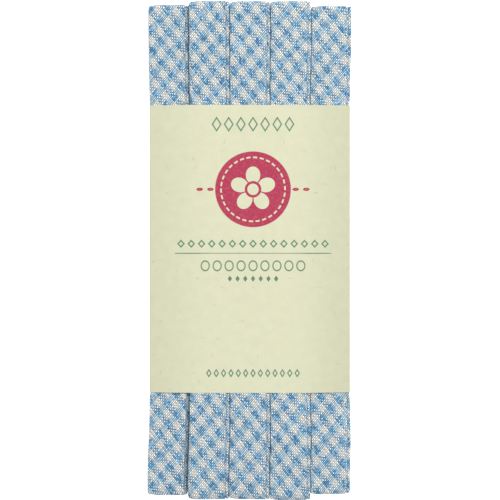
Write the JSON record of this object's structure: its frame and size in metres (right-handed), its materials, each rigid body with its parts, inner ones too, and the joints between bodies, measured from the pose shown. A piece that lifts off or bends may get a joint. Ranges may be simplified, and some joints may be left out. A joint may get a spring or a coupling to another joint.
{
  "type": "flat-wound roll of cotton bias tape with a paper band",
  "caption": "Folded checked cotton bias tape wound flat into side-by-side columns, held closed by a paper band.",
  "frame": {"origin": "middle of the roll's underside, on the surface that it lies on", "axes": "+Z out of the face, +Y along the columns of tape to the top of the printed band, +X across the columns"},
  "size_m": [0.0552, 0.1354, 0.0055],
  "materials": {
    "checked_cotton": "plain-woven cotton in a small blue and off-white check, cut on the bias",
    "recycled_paper": "uncoated recycled paper, pale yellow-green with dark flecks"
  },
  "bodies": {
    "root": {"wound_tape": "checked_cotton", "paper_band": "recycled_paper"}
  },
  "joints": []
}
